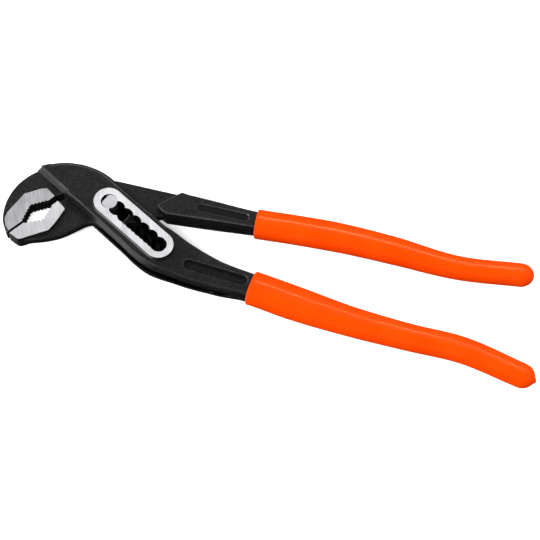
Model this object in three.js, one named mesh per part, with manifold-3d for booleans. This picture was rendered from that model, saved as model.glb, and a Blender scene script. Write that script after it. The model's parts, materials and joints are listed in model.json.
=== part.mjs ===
// Adjustable water pump pliers with a box joint.
// One lever carries the upper jaw, the box with its row of notches and the lower handle.
// The other lever runs through the box: lower jaw, thin web round the pin, upper handle.
// Millimetres, +Z up. The tool lies flat, with its jaws to -X and its handles to +X.

import * as THREE from 'three';
import { mergeVertices } from 'three/addons/utils/BufferGeometryUtils.js';
import Module from 'manifold-3d';

const wasm = await Module();
wasm.setup();

const { degToRad } = THREE.MathUtils;

// Pivot pin, and the row of notches that it sits in, a little past the middle of one of them
const pinDiameter = 6.8;
const pinFlatDistance = 2.5;
const pinHoleClearance = 0.2;
const pinSeat = 0.35;
const notchClearance = 0.3;
const passClearance = 0.1;
const notchCount = 7;
const deepNotches = 2;
const halfStepRadius = 1.5;
const notchPitch = 5.3;
const slotAngle = degToRad(-30.8);
const openAngle = degToRad(85);

// Box joint: two plates, the window between them for the web, and a raised ring round the slot
const webThickness = 4.0;
const webClearance = 0.3;
const plateThickness = 4.9;
const boxMarginLow = 2.5;
const boxMarginHigh = 2.8;
const boxHeel = 1.1;
const ringWidth = 2.95;
const ringRun = 0.4;
const ringRise = 0.8;
const ringChamfer = 0.3;
const forgedChamfer = 0.8;
const windowGap = 0.8;
const windowEndGap = 2.2;

// Jaws: both faces lie along one closing line, a set distance from the pin
const jawThickness = 7.2;
const jawAngle = degToRad(53);
const jawOffset = 19.1;
const jawGap = 1.2;
const jawChamfer = 0.6;
const noseEnd = 35.2;
const mouthLength = 15.0;
const mouthDepth = 4.0;
const rootStep = 0.9;
const rootEnd = 15.9;
const throatGap = 0.4;
const teethPerFlank = 5;
const toothDepth = 0.6;
const padRise = 0.25;
const rampLength = 2.1;

// Back of the upper jaw: an arc whose top lies a little lower than the long edge of the box, the
// place of its centre along the slot, and the place where the top of the head leaves that edge
const backRadius = 25.9;
const backAlong = -13;
const backDrop = 2.6;
const jawArcEnd = degToRad(-106);
const headArcStart = -8;

// Outlines beside the closing line, as reach from the pin's foot and depth from the line
const upperPad = [[16.2, 7.0], [18.6, 8.8], [26.1, 11.6], [37.6, 8.9], [40.6, 7.3], [42.7, 3.7], [43.4, 0]];
const lowerPad = [[16.3, 6.3], [16.8, 7.2], [24.1, 9.9], [28.9, 11.1], [42.0, 6.0], [43.6, 3.4], [44.3, 0]];
const lowerJawEdge = [[42.0, 5.9], [39.5, 8.0], [35.0, 11.2], [30.5, 13.9], [24.5, 16.4], [14.7, 18.3]];

// Inner lever: the hub round the pin, and how the edges of the web run on from it
const hubRadius = 14.4;
const lowerHubRadius = 9.6;
const heelBlend = new THREE.Vector2(3, 2.4);
const heelTurn = degToRad(20);
const webRunLow = new THREE.Vector2(30, 4.1);
const webRunHigh = new THREE.Vector2(29.2, 13.7);
const webLap = 8;

// Shoulder of the upper handle, along the slot and clear of the edge of the box
const shoulder = [[19.0, 17.9], [15.4, 5.3], [18.5, 4.7]];

// Handles: width and thickness where each one leaves its forging, enters its grip and ends
const bendThickness = 12.0;
const neckThickness = 10.4;
const tangThickness = 9.2;
const tailThickness = 7.8;
const upperNeckWidth = 11.4;
const upperTangWidth = 8.2;
const upperTailWidth = 5.6;
const lowerBendWidth = 16.2;
const lowerNeckWidth = 11.9;
const lowerTangWidth = 10.4;
const lowerGraspWidth = 8.3;
const lowerTailWidth = 6.9;
const lowerEndWidth = 6.2;
const lowerBoxLap = 14;
const lowerBoxBend = 3;

// Long shallow hollows in both faces of each handle's neck
const upperRecess = [[40.9, 7.9], [61.4, 7.8]];
const upperRecessWidth = 3.6;
const upperRecessDepth = 0.4;
const lowerRecess = [[15.5, -5.8], [39.9, -7.3]];
const lowerRecessWidth = 4.6;
const lowerRecessDepth = 0.9;

// Dipped grips
const gripWall = 1.5;
const gripClearance = 0.2;
const gripCorner = 3.4;
const gripLip = 1.0;
const gripEndCover = 5.2;

// Stations of the upper handle from the pin: place, width and thickness
const upperStations = [
  [22.0, 8.1, upperNeckWidth, neckThickness],
  [45.0, 7.9, (upperNeckWidth + upperTangWidth) / 2, neckThickness],
  [66.5, 7.9, upperTangWidth, tangThickness],
  [86.0, 8.9, upperTangWidth, tangThickness],
  [106.0, 9.4, upperTangWidth, tangThickness],
  [130.0, 8.5, (3 * upperTangWidth + upperTailWidth) / 4, tangThickness],
  [160.0, 6.4, upperTailWidth, tailThickness],
  [188.5, 9.2, upperTailWidth, tailThickness],
];
const upperGripStation = 2;

// Stations of the lower handle from the last notch, after two inside the box
const lowerStations = [
  [13.4, -3.8, lowerBendWidth, bendThickness],
  [28.1, -6.4, lowerNeckWidth, neckThickness],
  [44.5, -8.2, lowerTangWidth, tangThickness],
  [65.9, -11.4, lowerTangWidth, tangThickness],
  [90.9, -14.5, lowerGraspWidth, tangThickness],
  [117.9, -16.3, lowerTailWidth, tangThickness],
  [142.9, -17.2, lowerTailWidth, tailThickness],
  [169.9, -23.3, lowerEndWidth, tailThickness],
];
const lowerGripStation = 4;

// Fineness of the mesh: the turn of a step on an arc, the sides of a cylinder and the rings of a handle
const arcStep = degToRad(6);
const roundSides = 48;
const neckSteps = 16;
const tangSteps = 22;
const lipSteps = 3;
const domeSteps = 5;
const cornerSteps = 4;

// Two points this close are one, and a cut runs this far past the face that it leaves
const samePoint = 1e-4;
const overrun = 3;

const pinRadius = pinDiameter / 2;
const notchRadius = pinRadius + notchClearance;
const flatSide = pinFlatDistance + passClearance;
const roundSide = pinRadius + passClearance;
const pinTravel = (notchCount - 1) * notchPitch;
const firstNotch = -pinSeat;
const lastNotch = pinTravel - pinSeat;
const ringRadius = notchRadius + ringWidth;
const boxLow = ringRadius + boxMarginLow;
const boxHigh = ringRadius + boxMarginHigh;
const webHalf = webThickness / 2;
const windowHalf = webHalf + webClearance;
const boxHalf = windowHalf + plateThickness;
const faceHalf = boxHalf + ringRise;
const throughHalf = faceHalf + overrun;
const jawHalf = jawThickness / 2;
const jawBodyHalf = jawHalf - padRise;
const jawFlat = jawGap / 2;
const jawRoot = jawFlat + rootStep;

// Places along and across the slot, and along and beside the closing line of the jaws
const rotate = (x, y, angle) => new THREE.Vector2(x, y).rotateAround(new THREE.Vector2(), angle);
const fromSlot = (along, across) => rotate(along, across, slotAngle);
const toSlot = (point) => rotate(point.x, point.y, -slotAngle);
const jawTurn = jawAngle + Math.PI;
const jawFoot = rotate(0, -jawOffset, jawTurn);
const fromJaw = (reach, depth) => rotate(reach, depth, jawTurn).add(jawFoot);
const toJaw = (point) => rotate(point.x - jawFoot.x, point.y - jawFoot.y, -jawTurn);
const fromLastNotch = (x, y) => fromSlot(lastNotch, 0).add(new THREE.Vector2(x, y));
const backCentre = new THREE.Vector2(backAlong, boxHigh - backDrop - backRadius);
const throat = fromJaw(rootEnd + throatGap, jawRoot);
const heel = fromJaw(...lowerJawEdge.at(-1));

// Solids from closed geometries, and back again
function solid(geometry) {
  geometry.deleteAttribute('normal');
  geometry.deleteAttribute('uv');
  const merged = mergeVertices(geometry, samePoint);
  const vertProperties = new Float32Array(merged.attributes.position.array);
  const triVerts = new Uint32Array(merged.index.array);
  return new wasm.Manifold(new wasm.Mesh({ numProp: 3, vertProperties, triVerts }));
}

function geometryOf(body) {
  const mesh = body.getMesh();
  const geometry = new THREE.BufferGeometry();
  geometry.setAttribute('position', new THREE.BufferAttribute(new Float32Array(mesh.vertProperties), 3));
  geometry.setIndex(new THREE.BufferAttribute(new Uint32Array(mesh.triVerts), 1));
  geometry.computeVertexNormals();
  return geometry;
}

// An outline as single points, with the doubled ones where its curves meet left out
function stepsOn(curve) {
  if (curve.isLineCurve) return 1;
  const sweep = curve.isEllipseCurve ? Math.abs(curve.aEndAngle - curve.aStartAngle) : Math.PI / 2;
  return Math.max(2, Math.ceil(sweep / arcStep));
}

function outlineOf(shape) {
  const points = shape.curves.flatMap((curve) => curve.getPoints(stepsOn(curve)));
  const apart = points.filter((point, i) => point.distanceTo(points.at(i - 1)) > samePoint);
  return new THREE.Shape(apart);
}

// A flat piece of a given half thickness about the middle plane of the tool
function slab(shape, half, chamfer = 0) {
  const geometry = new THREE.ExtrudeGeometry(outlineOf(shape), {
    depth: 2 * (half - chamfer),
    bevelEnabled: chamfer > 0,
    bevelThickness: chamfer,
    bevelSize: chamfer,
    bevelOffset: -chamfer,
    bevelSegments: 1,
  });
  return geometry.translate(0, 0, chamfer - half);
}

function slotSlab(shape, half, chamfer) {
  return solid(slab(shape, half, chamfer).rotateZ(slotAngle));
}

function jawSlab(shape, half, chamfer) {
  return solid(slab(shape, half, chamfer).rotateZ(jawTurn).translate(jawFoot.x, jawFoot.y, 0));
}

function stadium(from, to, radius) {
  const shape = new THREE.Shape();
  shape.absarc(from, 0, radius, Math.PI / 2, 1.5 * Math.PI);
  shape.absarc(to, 0, radius, -Math.PI / 2, Math.PI / 2);
  return shape;
}

function polygon(points) {
  return new THREE.Shape(points).closePath();
}

function cylinder(radius, half) {
  return solid(new THREE.CylinderGeometry(radius, radius, 2 * half, roundSides).rotateX(Math.PI / 2));
}

// A body through rings of points, closed by a flat face at each end
function loft(rings) {
  const sides = rings[0].length;
  const index = [];
  for (let i = 0; i < rings.length - 1; i++) {
    for (let k = 0; k < sides; k++) {
      const a = i * sides + k;
      const b = i * sides + (k + 1) % sides;
      index.push(a, b, b + sides, a, b + sides, a + sides);
    }
  }
  const last = (rings.length - 1) * sides;
  for (let k = 1; k < sides - 1; k++) {
    index.push(0, k + 1, k);
    index.push(last, last + k, last + k + 1);
  }
  const geometry = new THREE.BufferGeometry().setFromPoints(rings.flat());
  geometry.setIndex(index);
  return solid(geometry);
}

// A handle: a smooth centre line, with half its width and half its thickness all along it
function handle(stations) {
  const places = stations.map(([x, y]) => new THREE.Vector3(x, y, 0));
  const halves = stations.map(([, , width, thickness]) => new THREE.Vector3(width / 2, thickness / 2, 0));
  const line = new THREE.CatmullRomCurve3(places);
  const size = new THREE.CatmullRomCurve3(halves, false, 'chordal');
  return (t) => {
    const { x: width, y: thickness } = size.getPoint(t);
    return { centre: line.getPoint(t), ahead: line.getTangent(t), width, thickness };
  };
}

function ringAt({ centre, ahead }, section, shift = 0) {
  return section.map(([across, up]) => new THREE.Vector3(
    centre.x + ahead.x * shift - ahead.y * across,
    centre.y + ahead.y * shift + ahead.x * across,
    up,
  ));
}

// Cross sections: a bar with its four edges broken, and a rounded grip
function barSection(width, thickness) {
  const inner = width - forgedChamfer;
  const lower = thickness - forgedChamfer;
  return [
    [width, -lower], [width, lower], [inner, thickness], [-inner, thickness],
    [-width, lower], [-width, -lower], [-inner, -thickness], [inner, -thickness],
  ];
}

function gripSection(station, inset) {
  const width = station.width + gripClearance + gripWall - inset;
  const thickness = station.thickness + gripClearance + gripWall - inset;
  const corner = Math.min(gripCorner, width - gripWall / 2, thickness - gripWall / 2);
  const section = [];
  for (let quarter = 0; quarter < 4; quarter++) {
    const right = quarter === 0 || quarter === 3 ? 1 : -1;
    const top = quarter < 2 ? 1 : -1;
    for (let k = 0; k <= cornerSteps; k++) {
      const angle = (quarter + k / cornerSteps) * Math.PI / 2;
      section.push([
        right * (width - corner) + corner * Math.cos(angle),
        top * (thickness - corner) + corner * Math.sin(angle),
      ]);
    }
  }
  return section;
}

function range(from, to, count) {
  return Array.from({ length: count + 1 }, (_, i) => from + (to - from) * i / count);
}

// The steel bar of a handle through the given parts of its length, grown at its sides and faces
function bar(handleAt, parts, sideGrowth = 0, faceGrowth = 0) {
  return loft(parts.map((t) => {
    const station = handleAt(t);
    return ringAt(station, barSection(station.width + sideGrowth, station.thickness + faceGrowth));
  }));
}

// A hollow in both faces of a handle, whose floors follow the taper of the handle
function recess(handleAt, parts, [from, to], width, depth) {
  const run = to.clone().sub(from);
  const plan = slab(stadium(0, run.length(), width / 2), throughHalf);
  const column = solid(plan.rotateZ(run.angle()).translate(from.x, from.y, 0));
  return column.subtract(bar(handleAt, parts, 0, -depth));
}

// A grip: rounded lip at its mouth, the tang's shape grown by the wall, and a domed end
function grip(handleAt, mouth) {
  const parts = range(mouth, 1, tangSteps);
  const stations = parts.map(handleAt);
  const first = stations[0];
  const last = stations.at(-1);
  const rings = [];
  for (let k = 0; k < lipSteps; k++) {
    const angle = k / lipSteps * Math.PI / 2;
    const section = gripSection(first, gripLip * (1 - Math.sin(angle)));
    rings.push(ringAt(first, section, gripLip * (1 - Math.cos(angle))));
  }
  rings.push(ringAt(first, gripSection(first, 0), gripLip));
  stations.slice(1).forEach((station) => rings.push(ringAt(station, gripSection(station, 0))));
  for (let k = 1; k <= domeSteps; k++) {
    const angle = k / (domeSteps + 0.5) * Math.PI / 2;
    const shrink = Math.cos(angle);
    const section = gripSection(last, 0).map(([across, up]) => [across * shrink, up * shrink]);
    rings.push(ringAt(last, section, gripEndCover * Math.sin(angle)));
  }
  const bore = stations.map((station) => {
    const shift = station === first ? -gripLip : station === last ? gripClearance : 0;
    const section = barSection(station.width + gripClearance, station.thickness + gripClearance);
    return ringAt(station, section, shift);
  });
  return loft(rings).subtract(loft(bore));
}

// Face of a jaw from its nose to its root, with teeth on both flanks of the mouth
function jawFace(side) {
  const mouthEnd = noseEnd - mouthLength;
  const apex = new THREE.Vector2((noseEnd + mouthEnd) / 2, jawFlat + mouthDepth);
  const points = [new THREE.Vector2(noseEnd, jawFlat)];
  const flank = (from, to) => {
    const across = new THREE.Vector2(from.y - to.y, to.x - from.x).normalize();
    if (across.y < 0) across.negate();
    for (let k = 0; k < teethPerFlank; k++) {
      const valley = from.clone().lerp(to, (k + 0.5) / teethPerFlank);
      points.push(valley.addScaledVector(across, toothDepth));
      points.push(from.clone().lerp(to, (k + 1) / teethPerFlank));
    }
  };
  flank(points[0], apex);
  flank(apex, new THREE.Vector2(mouthEnd, jawRoot));
  points.push(new THREE.Vector2(rootEnd, jawRoot));
  return points.map((point) => new THREE.Vector2(point.x, side * point.y));
}

// The space on the open side of a jaw face, to cut that face into its jaw
function mouthSpace(side) {
  const outside = noseEnd + 2 * backRadius;
  const far = -side * backRadius;
  const face = jawFace(side);
  return jawSlab(polygon([
    new THREE.Vector2(outside, far),
    new THREE.Vector2(outside, face[0].y),
    ...face,
    new THREE.Vector2(rootEnd, far),
  ]), throughHalf);
}

// The raised ground pad of a jaw, from its root to its tip
function padShape(points, root, side) {
  return polygon([[root, 0], ...points].map(([reach, depth]) => new THREE.Vector2(reach, side * depth)));
}

// Point where the line from a place outside a circle about the pin touches it
function touch(place, radius, turn) {
  return rotate(radius, 0, place.angle() + turn * Math.acos(radius / place.length()));
}

// Scalloped slot: a channel that the pin passes with its flat along one side and its round side along
// the other, the notches, the pin's room at the end, and half steps between the shallow notches
function slotSpace() {
  const deepEnd = firstNotch + deepNotches * notchPitch;
  const channel = polygon([
    new THREE.Vector2(firstNotch, -flatSide),
    new THREE.Vector2(deepEnd, -flatSide),
    new THREE.Vector2(deepEnd, -roundSide),
    new THREE.Vector2(lastNotch, -roundSide),
    new THREE.Vector2(lastNotch, flatSide),
    new THREE.Vector2(firstNotch, flatSide),
  ]);
  const round = (along, across, radius) => {
    const shape = new THREE.Shape();
    shape.absarc(along, across, radius, 0, 2 * Math.PI);
    return slotSlab(shape, throughHalf);
  };
  const notches = range(firstNotch, lastNotch, notchCount - 1);
  const halfSteps = notches.slice(deepNotches, -1).map((place) => place + notchPitch / 2);
  return [
    ...[...notches, pinTravel].map((place) => round(place, 0, notchRadius)),
    ...halfSteps.map((place) => round(place, halfStepRadius - notchRadius, halfStepRadius)),
  ].reduce((space, cut) => space.add(cut), slotSlab(channel, throughHalf));
}

// Space between the plates, open on both long sides of the box. One wall runs along the closed
// jaw's throat and then along the fully opened web, both a little off the hub. The other lies
// past the last notch, clear of the opened jaw's heel.
function windowSpace() {
  const back = touch(throat, hubRadius, -1);
  const closedEdge = back.angle();
  const openEdge = touch(webRunHigh, hubRadius, 1).angle() + openAngle;
  const wallRadius = (hubRadius + windowGap) / Math.cos((openEdge - closedEdge) / 2);
  const wallCorner = rotate(wallRadius, 0, (openEdge + closedEdge) / 2);
  const wallHigh = rotate(0, -backRadius - hubRadius, openEdge).add(wallCorner);
  const outwards = throat.clone().sub(back).normalize();
  const wallFoot = throat.clone().add(rotate(windowGap, 0, closedEdge)).addScaledVector(outwards, overrun);
  const wallLow = fromSlot(toSlot(wallFoot).x + overrun, -boxLow - overrun);
  const endAngle = heel.angle() + openAngle;
  const endFoot = fromSlot(pinTravel, 0).add(rotate(heel.length() + windowEndGap, 0, endAngle));
  const endLow = endFoot.clone().add(rotate(0, -2 * boxHigh, endAngle));
  const endHigh = endFoot.clone().add(rotate(0, 3 * boxHigh, endAngle));
  return solid(slab(polygon([wallFoot, wallLow, endLow, endHigh, wallHigh, wallCorner]), windowHalf));
}

const group = new THREE.Group();
group.name = 'water_pump_pliers';

function addPiece(name, body, finish) {
  const mesh = new THREE.Mesh(geometryOf(body), new THREE.MeshStandardMaterial(finish));
  mesh.name = name;
  group.add(mesh);
}

const forgedBlack = { color: 0x202123, roughness: 0.5, metalness: 0.7 };
const groundSteel = { color: 0xc9c9cc, roughness: 0.35, metalness: 1.0 };
const orangeVinyl = { color: 0xff4a08, roughness: 0.35, metalness: 0.0 };

// Lower handle of the slotted lever, from inside the box to the end of its tang
const boxWidth = boxLow + boxHigh;
const boxMiddle = (boxHigh - boxLow) / 2;
const boxStart = fromSlot(lastNotch - lowerBoxLap, boxMiddle);
const boxBend = fromSlot(lastNotch - lowerBoxBend, boxMiddle - boxHeel / 2);
const lowerPlaced = lowerStations.map(([x, y, ...size]) => [...fromLastNotch(x, y), ...size]);
const lowerHandleAt = handle([
  [...boxStart, boxWidth, 2 * boxHalf],
  [...boxBend, boxWidth + boxHeel, 2 * boxHalf],
  ...lowerPlaced,
]);
const lowerMouth = lowerGripStation / (lowerPlaced.length + 1);
const lowerParts = [...range(0, lowerMouth, neckSteps), ...range(lowerMouth, 1, tangSteps).slice(1)];

// Outline of the head: the box, the arc over its top and the back of the upper jaw
function headShape() {
  const rise = backDrop + backRadius;
  const lead = headArcStart - backAlong;
  const topRadius = (lead * lead + rise * rise - backRadius * backRadius) / (2 * backDrop);
  const top = new THREE.Vector2(headArcStart, boxHigh - topRadius);
  const joinAngle = backCentre.clone().sub(top).angle();
  const edgeAngle = Math.PI + Math.asin((boxLow + backCentre.y) / backRadius);
  const end = lastNotch - lowerBoxLap / 2;
  const shape = new THREE.Shape();
  shape.moveTo(end, -boxLow);
  shape.lineTo(end, boxHigh);
  shape.absarc(top.x, top.y, topRadius, Math.PI / 2, joinAngle);
  shape.absarc(backCentre.x, backCentre.y, backRadius, joinAngle, edgeAngle);
  return shape;
}

// Outline of the thinner upper jaw, from its nose round its back and into the box
function upperJawShape() {
  const back = toJaw(fromSlot(backCentre.x, backCentre.y));
  const noseAngle = -Math.asin(back.y / backRadius);
  const insideBox = toJaw(fromSlot(-hubRadius, 0));
  const plateCorner = toJaw(fromSlot(toSlot(throat).x + overrun, -boxLow));
  const shape = new THREE.Shape();
  shape.absarc(back.x, back.y, backRadius, noseAngle, jawArcEnd, true);
  shape.lineTo(insideBox.x, insideBox.y);
  shape.lineTo(plateCorner.x, plateCorner.y);
  shape.lineTo(rootEnd, -jawRoot);
  shape.lineTo(rootEnd, 0);
  return shape;
}

// Sloping band where the thick box falls away to the upper jaw
function ramp(jaw) {
  const inside = overrun - boxLow;
  const high = forgedChamfer - boxLow;
  const low = high - rampLength;
  const section = polygon([
    new THREE.Vector2(inside, -boxHalf),
    new THREE.Vector2(inside, boxHalf),
    new THREE.Vector2(high, boxHalf),
    new THREE.Vector2(low, jawBodyHalf),
    new THREE.Vector2(low, -jawBodyHalf),
    new THREE.Vector2(high, -boxHalf),
  ]);
  const alongSlot = new THREE.Matrix4().makeBasis(
    new THREE.Vector3(0, 1, 0),
    new THREE.Vector3(0, 0, 1),
    new THREE.Vector3(1, 0, 0),
  );
  const band = slab(section, backRadius).applyMatrix4(alongSlot).translate(backAlong, 0, 0);
  return solid(band.rotateZ(slotAngle)).intersect(jawSlab(jaw, boxHalf));
}

function slottedLever() {
  const jaw = upperJawShape();
  const ring = stadium(firstNotch - ringRun, lastNotch + ringRun, ringRadius);
  const hollow = lowerRecess.map(([x, y]) => fromLastNotch(x, y));
  return slotSlab(headShape(), boxHalf, forgedChamfer)
    .add(bar(lowerHandleAt, lowerParts))
    .add(jawSlab(jaw, jawBodyHalf, jawChamfer))
    .add(jawSlab(padShape(upperPad, rootEnd, -1), jawHalf, padRise))
    .add(ramp(jaw))
    .subtract(mouthSpace(-1))
    .subtract(recess(lowerHandleAt, lowerParts, hollow, lowerRecessWidth, lowerRecessDepth))
    .add(slotSlab(ring, faceHalf, ringChamfer))
    .subtract(windowSpace())
    .subtract(slotSpace());
}

addPiece('slotted_lever', slottedLever(), forgedBlack);

// Upper handle of the inner lever, from its shoulder beside the box to the end of its tang
const upperHandleAt = handle(upperStations);
const upperMouth = upperGripStation / (upperStations.length - 1);
const upperParts = [...range(0, upperMouth, neckSteps), ...range(upperMouth, 1, tangSteps).slice(1)];

// Outline of the web: hub, throat, outer edge of the lower jaw, heel, and its run into the handle
function webShape() {
  const high = touch(webRunHigh, hubRadius, 1);
  const back = touch(throat, hubRadius, -1);
  const low = touch(webRunLow, lowerHubRadius, -1);
  const heelEnd = rotate(lowerHubRadius, 0, heel.angle() + heelTurn);
  const edge = lowerJawEdge.map(([reach, depth]) => fromJaw(reach, depth));
  const shape = new THREE.Shape();
  shape.absarc(0, 0, hubRadius, high.angle(), back.angle());
  shape.lineTo(throat.x, throat.y);
  shape.lineTo(edge[0].x, edge[0].y);
  shape.splineThru(edge.slice(1));
  shape.quadraticCurveTo(heel.x + heelBlend.x, heel.y + heelBlend.y, heelEnd.x, heelEnd.y);
  shape.absarc(0, 0, lowerHubRadius, heelEnd.angle(), low.angle() + 2 * Math.PI);
  shape.lineTo(webRunLow.x, webRunLow.y);
  shape.lineTo(webRunLow.x + webLap, (webRunLow.y + webRunHigh.y) / 2);
  shape.lineTo(webRunHigh.x, webRunHigh.y);
  return shape;
}

// What is cut off the start of the upper handle to leave its slanted shoulder
function shoulderSpace() {
  const clear = 2 * upperNeckWidth;
  const [high, low, corner] = shoulder.map(([along, gap]) => fromSlot(along, boxHigh + gap));
  const far = high.clone().sub(low).setLength(clear).add(high);
  return solid(slab(polygon([
    far,
    low,
    corner,
    corner.clone().setY(corner.y - clear),
    low.clone().sub(new THREE.Vector2(clear, clear)),
    new THREE.Vector2(low.x - clear, far.y),
  ]), throughHalf));
}

function innerLever() {
  const hollow = upperRecess.map(([x, y]) => new THREE.Vector2(x, y));
  return bar(upperHandleAt, upperParts)
    .subtract(shoulderSpace())
    .subtract(recess(upperHandleAt, upperParts, hollow, upperRecessWidth, upperRecessDepth))
    .add(solid(slab(webShape(), webHalf)))
    .add(jawSlab(padShape(lowerPad, rootEnd + throatGap, 1), jawHalf))
    .subtract(mouthSpace(1))
    .subtract(cylinder(pinRadius + pinHoleClearance, throughHalf));
}

addPiece('inner_lever', innerLever(), forgedBlack);

// Pin: round in the web, with a flat on each end that lines up with the slot when the jaws are open
function pivotPin() {
  const flatAngle = slotAngle - Math.PI / 2 - openAngle;
  const cut = (side) => solid(new THREE.BoxGeometry(pinDiameter, 2 * pinDiameter, faceHalf)
    .translate(pinFlatDistance + pinRadius, 0, side * (windowHalf + faceHalf / 2))
    .rotateZ(flatAngle));
  return cylinder(pinRadius, faceHalf).subtract(cut(1)).subtract(cut(-1));
}

addPiece('pivot_pin', pivotPin(), groundSteel);
addPiece('slotted_lever_grip', grip(lowerHandleAt, lowerMouth), orangeVinyl);
addPiece('inner_lever_grip', grip(upperHandleAt, upperMouth), orangeVinyl);

// The tool stands on z = 0, with the middle of its outline over the origin
const box = new THREE.Box3().setFromObject(group);
const middle = box.getCenter(new THREE.Vector3());
group.position.set(-middle.x, -middle.y, -box.min.z);
group.updateMatrixWorld(true);

export default group;
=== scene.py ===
import json
import math

import bpy
import numpy as np
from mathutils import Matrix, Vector


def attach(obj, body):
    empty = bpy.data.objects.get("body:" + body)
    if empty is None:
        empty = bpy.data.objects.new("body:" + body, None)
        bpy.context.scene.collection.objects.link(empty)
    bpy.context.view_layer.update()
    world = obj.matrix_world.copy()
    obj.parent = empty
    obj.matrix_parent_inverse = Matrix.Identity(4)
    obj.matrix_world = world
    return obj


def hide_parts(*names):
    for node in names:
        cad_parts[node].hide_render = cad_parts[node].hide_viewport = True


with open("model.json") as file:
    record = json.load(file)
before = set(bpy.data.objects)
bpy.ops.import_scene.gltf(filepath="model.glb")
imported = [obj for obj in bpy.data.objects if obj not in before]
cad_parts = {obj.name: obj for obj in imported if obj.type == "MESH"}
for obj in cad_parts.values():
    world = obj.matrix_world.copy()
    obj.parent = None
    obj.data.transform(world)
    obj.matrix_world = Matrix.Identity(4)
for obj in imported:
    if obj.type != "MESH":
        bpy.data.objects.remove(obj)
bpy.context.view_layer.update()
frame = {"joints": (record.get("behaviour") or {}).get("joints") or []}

# SLOTTED LEVER
# One steel forging: upper jaw, box with the notched slot, lower handle. It is drop forged, milled
# through for the other lever, phosphated black, then ground bright on its jaw pad and slot ring.
MM = 0.001
pin_place = np.array(next(j for j in frame["joints"] if j["name"] == "lever_hinge")["pos_m"])

slot_angle = math.radians(-30.8)
jaw_angle = math.radians(53) + math.pi
jaw_distance = 19.1


def turn(points, angle):
    """Points turned about the pin."""
    c, s = math.cos(angle), math.sin(angle)
    return np.asarray(points, float) @ np.array([[c, s], [-s, c]])


def from_slot(points):
    """Places given along and across the slot."""
    return turn(points, slot_angle)


def to_slot(points):
    """Points measured along and across the slot."""
    return turn(points, -slot_angle)


jaw_foot = turn((0, -jaw_distance), jaw_angle)


def from_jaw(points):
    """Places given by their reach along the closing line of the jaws and their depth behind it."""
    return turn(points, jaw_angle) + jaw_foot


def to_jaw(points):
    """Points measured by reach along the closing line and depth behind it."""
    return turn(np.asarray(points, float) - jaw_foot, -jaw_angle)


def angle_of(point):
    """The heading of a point from the pin, within one turn."""
    return math.atan2(point[1], point[0]) % math.tau


def arc(centre, radius, start, end, step=math.radians(3)):
    """Points on an arc, from one angle to another."""
    count = max(2, math.ceil(abs(end - start) / step))
    angles = np.linspace(start, end, count + 1)
    return np.c_[np.cos(angles), np.sin(angles)] * radius + centre


def through(points, shares, power=0.5):
    """Places at these shares of the smooth line through some points."""
    least_gap = 1e-4
    points = np.asarray(points, float)
    chain = np.vstack([2 * points[0] - points[1], points, 2 * points[-1] - points[-2]])
    placed = []
    for share in shares:
        at = share * (len(points) - 1)
        first = min(int(at), len(points) - 2)
        part = at - first
        before, here, there, after = chain[first:first + 4]
        gaps = np.linalg.norm(np.diff(chain[first:first + 4], axis=0), axis=1) ** power
        middle = gaps[1] if gaps[1] > least_gap else 1.0
        lead = gaps[0] if gaps[0] > least_gap else middle
        follow = gaps[2] if gaps[2] > least_gap else middle
        rise = there - here
        run = rise / middle
        leave = ((here - before) / lead - (there - before) / (lead + middle) + run) * middle
        arrive = (run - (after - here) / (middle + follow) + (after - there) / follow) * middle
        square = 3 * rise - 2 * leave - arrive
        cube = leave + arrive - 2 * rise
        placed.append(here + leave * part + square * part ** 2 + cube * part ** 3)
    return np.array(placed)


def solid(name, rings):
    """A closed mesh through rings of points, in millimetres from the pin."""
    sides = len(rings[0])
    faces = [tuple(reversed(range(sides)))]
    for ring in range(len(rings) - 1):
        for k in range(sides):
            a, b = ring * sides + k, ring * sides + (k + 1) % sides
            faces.append((a, b, b + sides, a + sides))
    faces.append(tuple(range((len(rings) - 1) * sides, len(rings) * sides)))
    mesh = bpy.data.meshes.new(name)
    mesh.from_pydata(np.vstack(rings) * MM + pin_place, [], faces)
    piece = bpy.data.objects.new(name, mesh)
    bpy.context.scene.collection.objects.link(piece)
    return piece


def rounded(half, across, up=None, draft=0.0, steps=4):
    """Edge of a blank, as insets and heights: it leans out to the parting line, then is rounded over."""
    up = across if up is None else up
    edge = [(-draft, 0.0)] if draft else []
    for bend in np.linspace(0, math.pi / 2, steps + 1):
        edge.append((across * (1 - math.cos(bend)), half - up * (1 - math.sin(bend))))
    return edge


def slab(outline, edge, taper=None):
    """A flat blank about the middle of the tool, from its outline and the edge's insets and heights."""
    outline = np.asarray(outline, float)
    ahead = np.roll(outline, -1, 0) - outline
    left = (outline[:, 0] * ahead[:, 1] - outline[:, 1] * ahead[:, 0]).sum() > 0
    inward = np.c_[-ahead[:, 1], ahead[:, 0]] / np.linalg.norm(ahead, axis=1)[:, None]
    inward *= 1 if left else -1
    behind = np.roll(inward, 1, 0)
    mitre = (inward + behind) / (1 + (inward * behind).sum(1))[:, None]
    rings = []
    for inset, height in edge:
        place = outline + mitre * np.broadcast_to(inset, len(outline))[:, None]
        up = np.broadcast_to(height, len(outline)) * (taper(place) if taper else 1)
        rings.append(np.c_[place, up][::1 if left else -1])
    under = [ring * (1, 1, -1) for ring in reversed(rings) if ring[:, 2].any()]
    return solid("blank", under + rings)


overrun = 3.0


def through_cut(outline):
    """A blank that reaches past both faces of the tool, to cut with."""
    return slab(outline, [(0, ring_half + overrun)])


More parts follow.
